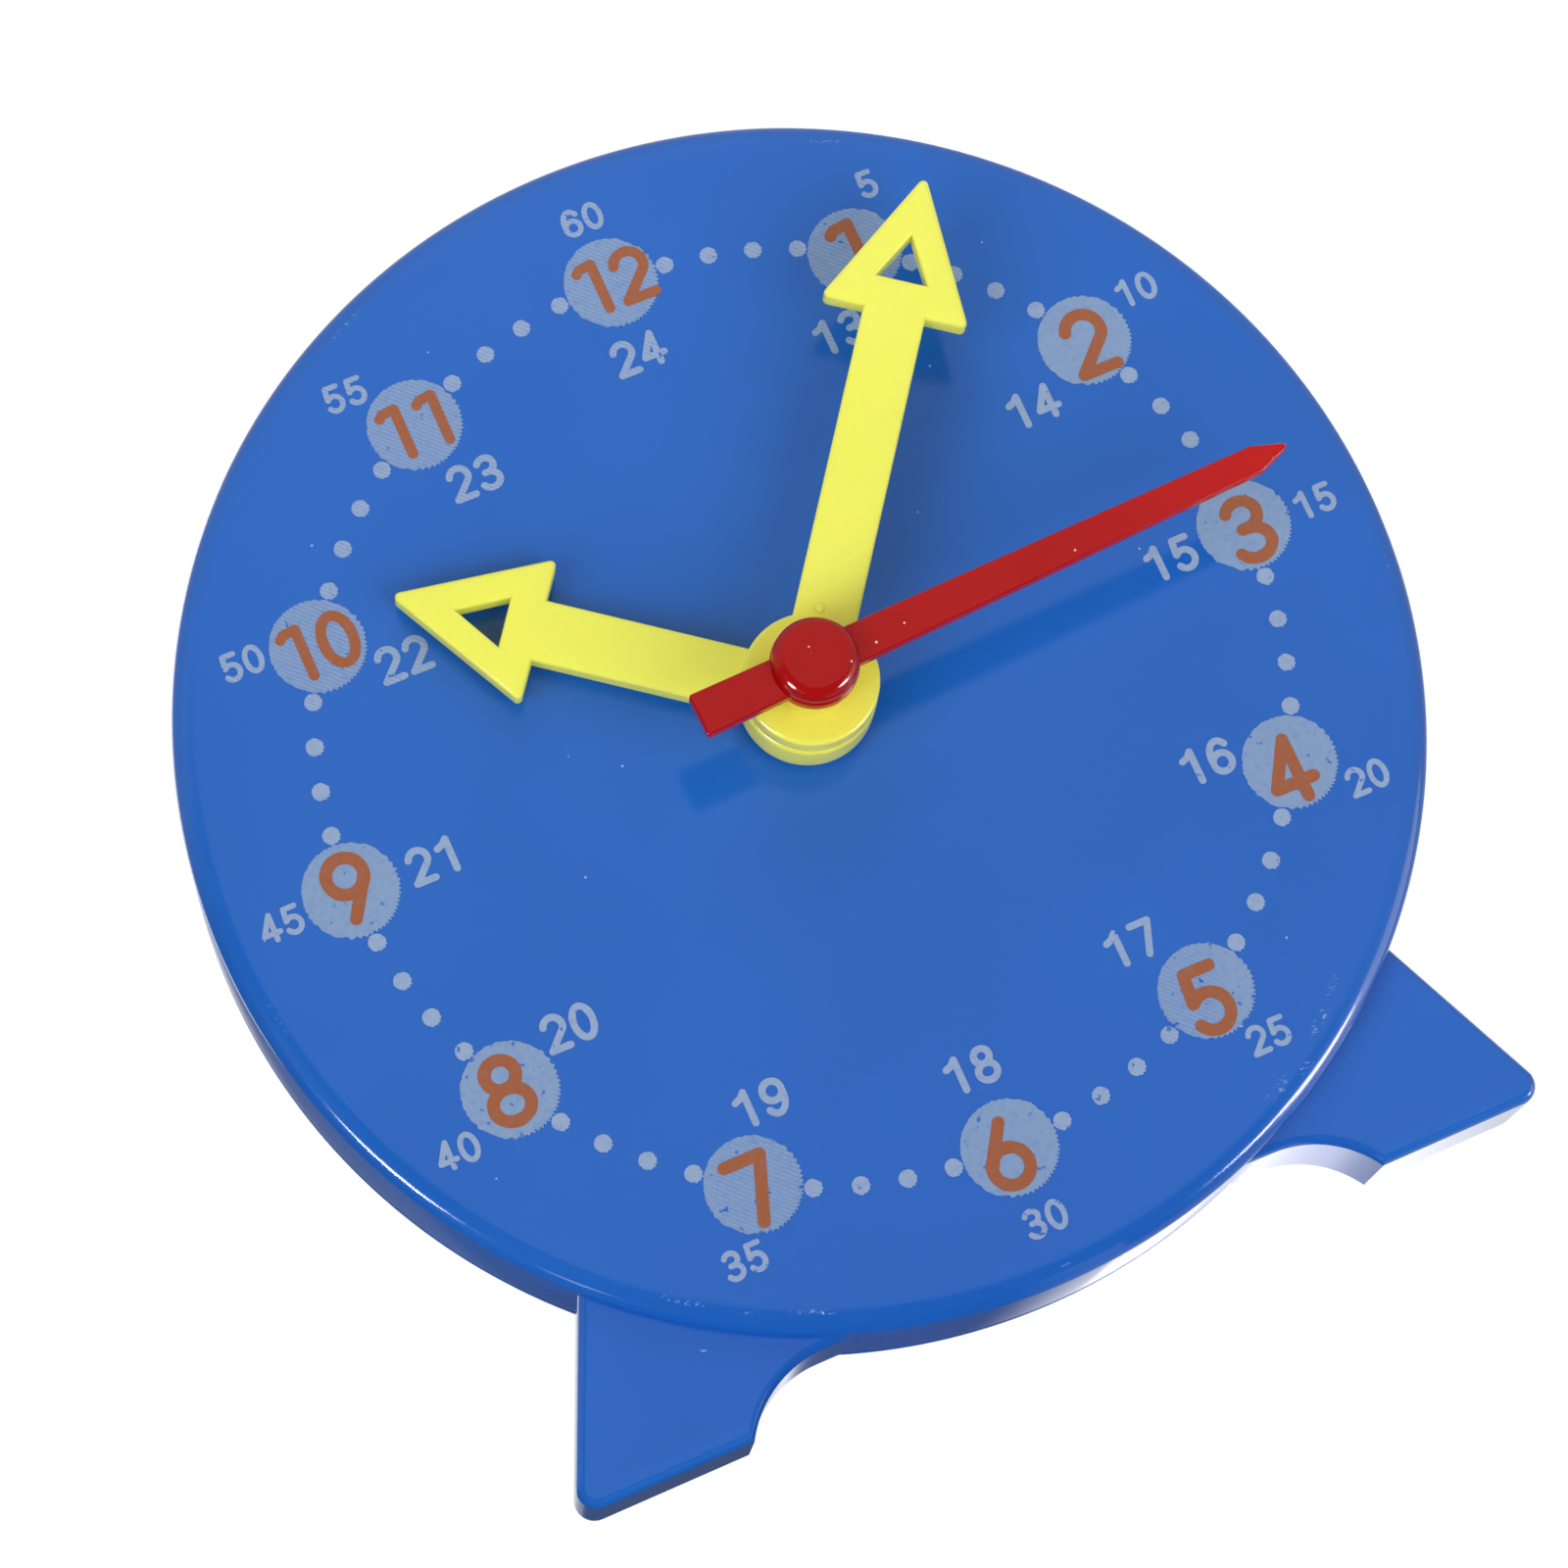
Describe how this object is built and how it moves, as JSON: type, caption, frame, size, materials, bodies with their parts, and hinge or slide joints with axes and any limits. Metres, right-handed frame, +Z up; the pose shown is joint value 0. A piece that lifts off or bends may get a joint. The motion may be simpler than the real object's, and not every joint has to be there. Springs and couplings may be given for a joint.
{
  "type": "teaching clock",
  "caption": "Small round teaching clock on two moulded feet, with geared hour and minute hands, a free second hand and a setting knob behind.",
  "frame": {"origin": "on the ground, at the middle of the overall box in X and Y", "axes": "+Z up, +X to the right seen from the front, -Y towards the person who reads the dial"},
  "size_m": [0.1, 0.033, 0.1014],
  "materials": {
    "blue_plastic": "glossy moulded",
    "yellow_plastic": "glossy moulded",
    "red_plastic": "glossy moulded",
    "acetal": "natural, moulded",
    "rubber": "matt",
    "steel": "zinc plated"
  },
  "bodies": {
    "case": {"front_case": "blue_plastic", "rear_cover": "blue_plastic", "cover_screw_1": "steel", "cover_screw_2": "steel", "cover_screw_3": "steel", "cover_screw_4": "steel", "train_spacer": "steel", "friction_ring": "rubber", "transfer_washer": "steel", "transfer_screw": "steel"},
    "minute": {"minute_hand": "yellow_plastic", "minute_arbor": "acetal", "minute_pinion": "acetal", "setting_knob": "blue_plastic", "knob_screw": "steel"},
    "hour": {"hour_hand": "yellow_plastic", "hour_wheel": "acetal"},
    "transfer": {"transfer_gear": "acetal"},
    "second": {"second_hand": "red_plastic", "second_pin": "steel"}
  },
  "joints": [
    {"name": "minute_turn", "type": "hinge", "parent": "case", "child": "minute", "pos_m": [0, 0, 0.0514], "axis": [0, 1, 0], "continuous": true},
    {"name": "hour_turn", "type": "hinge", "parent": "case", "child": "hour", "pos_m": [0, 0, 0.0514], "axis": [0, 1, 0], "continuous": true},
    {"name": "transfer_turn", "type": "hinge", "parent": "case", "child": "transfer", "pos_m": [0, 0, 0.0314], "axis": [0, 1, 0], "continuous": true},
    {"name": "second_turn", "type": "hinge", "parent": "case", "child": "second", "pos_m": [0, 0, 0.0514], "axis": [0, 1, 0], "continuous": true}
  ],
  "couplings": [
    {"joint": "hour_turn", "follows": "minute_turn", "ratio": 0.083333},
    {"joint": "transfer_turn", "follows": "minute_turn", "ratio": -0.33333}
  ]
}
